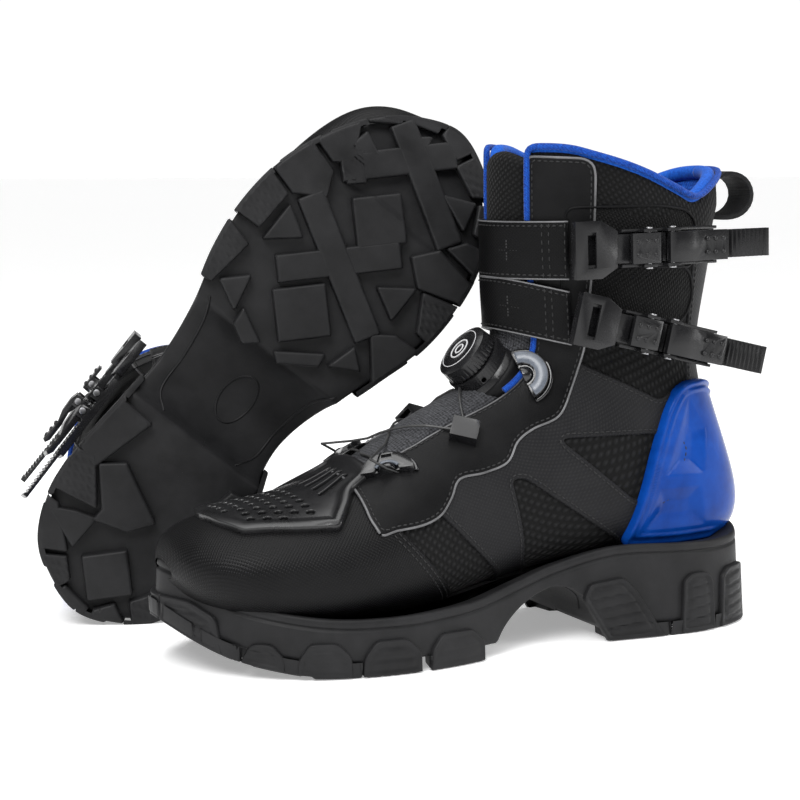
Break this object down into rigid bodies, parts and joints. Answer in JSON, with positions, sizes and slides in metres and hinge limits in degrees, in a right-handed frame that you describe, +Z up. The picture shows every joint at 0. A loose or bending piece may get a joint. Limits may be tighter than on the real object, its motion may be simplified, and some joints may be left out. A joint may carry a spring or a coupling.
{
  "type": "pair of short motorcycle boots",
  "caption": "Short motorcycle riding boots: black leather and mesh uppers with two ratchet strap buckles and a dial lacing system, blue heel guards and lugged soles",
  "frame": {"origin": "centre of the pair's bounding box, on the floor", "axes": "+Z up; the standing left boot points its toe along -X, with its outer side toward -Y; the right boot leans behind it, toward +Y"},
  "size_m": [0.3449, 0.3833, 0.2602],
  "materials": {
    "sole_rubber": "matte moulded",
    "steel": "plain",
    "board": "stiff board",
    "foam_fabric": "knit over foam",
    "black_leather": "fine grain, satin",
    "blue_lining": "spacer mesh",
    "knit_fabric": "knit",
    "black_plastic": "satin",
    "blue_plastic": "gloss",
    "webbing": "woven",
    "wire": "braided coated wire"
  },
  "bodies": {
    "left_boot": {"left_outsole": "sole_rubber", "left_shank": "steel", "left_insole_board": "board", "left_footbed": "foam_fabric", "left_upper": "black_leather", "left_lining": "blue_lining", "left_stiffeners": "board", "left_tongue": "knit_fabric", "left_toe_guard": "black_plastic", "left_heel_guard": "blue_plastic", "left_pull_loop": "webbing", "left_lace_guides": "black_plastic", "left_lace_cable": "wire", "left_dial_housing": "black_plastic", "left_buckle_pins": "steel", "left_upper_strap": "black_leather", "left_upper_buckle_base": "black_plastic", "left_lower_strap": "black_leather", "left_lower_buckle_base": "black_plastic"},
    "left_dial_carrier": {"left_dial_carrier": "black_plastic"},
    "left_dial_knob": {"left_dial_knob": "black_plastic"},
    "left_dial_spool": {"left_dial_spool": "black_plastic"},
    "left_upper_ladder": {"left_upper_ladder": "black_plastic", "left_upper_coupler": "black_plastic"},
    "left_upper_release_tab": {"left_upper_release_tab": "black_plastic"},
    "left_upper_lever": {"left_upper_lever": "black_plastic"},
    "left_lower_ladder": {"left_lower_ladder": "black_plastic", "left_lower_coupler": "black_plastic"},
    "left_lower_release_tab": {"left_lower_release_tab": "black_plastic"},
    "left_lower_lever": {"left_lower_lever": "black_plastic"},
    "right_boot": {"right_outsole": "sole_rubber", "right_shank": "steel", "right_insole_board": "board", "right_footbed": "foam_fabric", "right_upper": "black_leather", "right_lining": "blue_lining", "right_stiffeners": "board", "right_tongue": "knit_fabric", "right_toe_guard": "black_plastic", "right_heel_guard": "blue_plastic", "right_pull_loop": "webbing", "right_lace_guides": "black_plastic", "right_lace_cable": "wire", "right_dial_housing": "black_plastic", "right_buckle_pins": "steel", "right_upper_strap": "black_leather", "right_upper_buckle_base": "black_plastic", "right_lower_strap": "black_leather", "right_lower_buckle_base": "black_plastic"},
    "right_dial_carrier": {"right_dial_carrier": "black_plastic"},
    "right_dial_knob": {"right_dial_knob": "black_plastic"},
    "right_dial_spool": {"right_dial_spool": "black_plastic"},
    "right_upper_ladder": {"right_upper_ladder": "black_plastic", "right_upper_coupler": "black_plastic"},
    "right_upper_release_tab": {"right_upper_release_tab": "black_plastic"},
    "right_upper_lever": {"right_upper_lever": "black_plastic"},
    "right_lower_ladder": {"right_lower_ladder": "black_plastic", "right_lower_coupler": "black_plastic"},
    "right_lower_release_tab": {"right_lower_release_tab": "black_plastic"},
    "right_lower_lever": {"right_lower_lever": "black_plastic"}
  },
  "joints": [
    {"name": "left_dial_pull", "type": "slide", "parent": "left_boot", "child": "left_dial_carrier", "axis": [-0.769, 0, 0.6392], "range_m": [0, 0.003]},
    {"name": "left_knob_turn", "type": "hinge", "parent": "left_dial_carrier", "child": "left_dial_knob", "pos_m": [0.02386, -0.13053, 0.1295], "axis": [-0.769, 0, 0.6392], "continuous": true},
    {"name": "left_spool_turn", "type": "hinge", "parent": "left_boot", "child": "left_dial_spool", "pos_m": [0.02386, -0.13053, 0.1295], "axis": [-0.769, 0, 0.6392], "continuous": true},
    {"name": "left_upper_ladder_slide", "type": "slide", "parent": "left_boot", "child": "left_upper_ladder", "axis": [0.9997, 0, 0.0262], "range_m": [-0.022, 0.0025], "deforming": ["left_upper_strap"]},
    {"name": "left_upper_lever_lift", "type": "hinge", "parent": "left_boot", "child": "left_upper_lever", "pos_m": [0.09636, -0.18433, 0.191], "axis": [0.0262, 0, -0.9997], "range_deg": [0, 60]},
    {"name": "left_upper_release_press", "type": "hinge", "parent": "left_boot", "child": "left_upper_release_tab", "pos_m": [0.08336, -0.18433, 0.19066], "axis": [0.0262, 0, -0.9997], "range_deg": [0, 12], "stiffness_Nm_per_rad": 0.05},
    {"name": "left_lower_ladder_slide", "type": "slide", "parent": "left_boot", "child": "left_lower_ladder", "axis": [0.9744, 0, -0.225], "range_m": [-0.022, 0.0025], "deforming": ["left_lower_strap"]},
    {"name": "left_lower_lever_lift", "type": "hinge", "parent": "left_boot", "child": "left_lower_lever", "pos_m": [0.09836, -0.18133, 0.1465], "axis": [-0.225, 0, -0.9744], "range_deg": [0, 60]},
    {"name": "left_lower_release_press", "type": "hinge", "parent": "left_boot", "child": "left_lower_release_tab", "pos_m": [0.08569, -0.18133, 0.14942], "axis": [-0.225, 0, -0.9744], "range_deg": [0, 12], "stiffness_Nm_per_rad": 0.05},
    {"name": "right_dial_pull", "type": "slide", "parent": "right_boot", "child": "right_dial_carrier", "axis": [0.6428, 0.502, 0.5786], "range_m": [0, 0.003]},
    {"name": "right_knob_turn", "type": "hinge", "parent": "right_dial_carrier", "child": "right_dial_knob", "pos_m": [-0.03358, 0.07074, 0.11649], "axis": [0.6428, 0.502, 0.5786], "continuous": true},
    {"name": "right_spool_turn", "type": "hinge", "parent": "right_boot", "child": "right_dial_spool", "pos_m": [-0.03358, 0.07074, 0.11649], "axis": [0.6428, 0.502, 0.5786], "continuous": true},
    {"name": "right_upper_ladder_slide", "type": "slide", "parent": "right_boot", "child": "right_upper_ladder", "axis": [-0.6067, 0.1731, -0.7759], "range_m": [-0.022, 0.0025], "deforming": ["right_upper_strap"]},
    {"name": "right_upper_lever_lift", "type": "hinge", "parent": "right_boot", "child": "right_upper_lever", "pos_m": [-0.10162, 0.15276, 0.09251], "axis": [0.2831, 0.9591, -0.0074], "range_deg": [0, 60]},
    {"name": "right_upper_release_press", "type": "hinge", "parent": "right_boot", "child": "right_upper_release_tab", "pos_m": [-0.09374, 0.15051, 0.10259], "axis": [0.2831, 0.9591, -0.0074], "range_deg": [0, 12], "stiffness_Nm_per_rad": 0.05},
    {"name": "right_lower_ladder_slide", "type": "slide", "parent": "right_boot", "child": "right_lower_ladder", "axis": [-0.6582, -0.0726, -0.7493], "range_m": [-0.022, 0.0025], "deforming": ["right_lower_strap"]},
    {"name": "right_lower_lever_lift", "type": "hinge", "parent": "right_boot", "child": "right_lower_lever", "pos_m": [-0.11251, 0.10952, 0.0903], "axis": [0.1221, 0.9719, -0.2014], "range_deg": [0, 60]},
    {"name": "right_lower_release_press", "type": "hinge", "parent": "right_boot", "child": "right_lower_release_tab", "pos_m": [-0.10395, 0.11046, 0.10004], "axis": [0.1221, 0.9719, -0.2014], "range_deg": [0, 12], "stiffness_Nm_per_rad": 0.05},
    {"name": "right_boot_lift", "type": "slide", "parent": "left_boot", "child": "right_boot", "axis": [0, 0.7071, 0.7071], "range_m": [0, 0.25]}
  ],
  "couplings": [
    {"joint": "left_spool_turn", "follows": "left_knob_turn", "ratio": 1},
    {"joint": "right_spool_turn", "follows": "right_knob_turn", "ratio": 1}
  ]
}
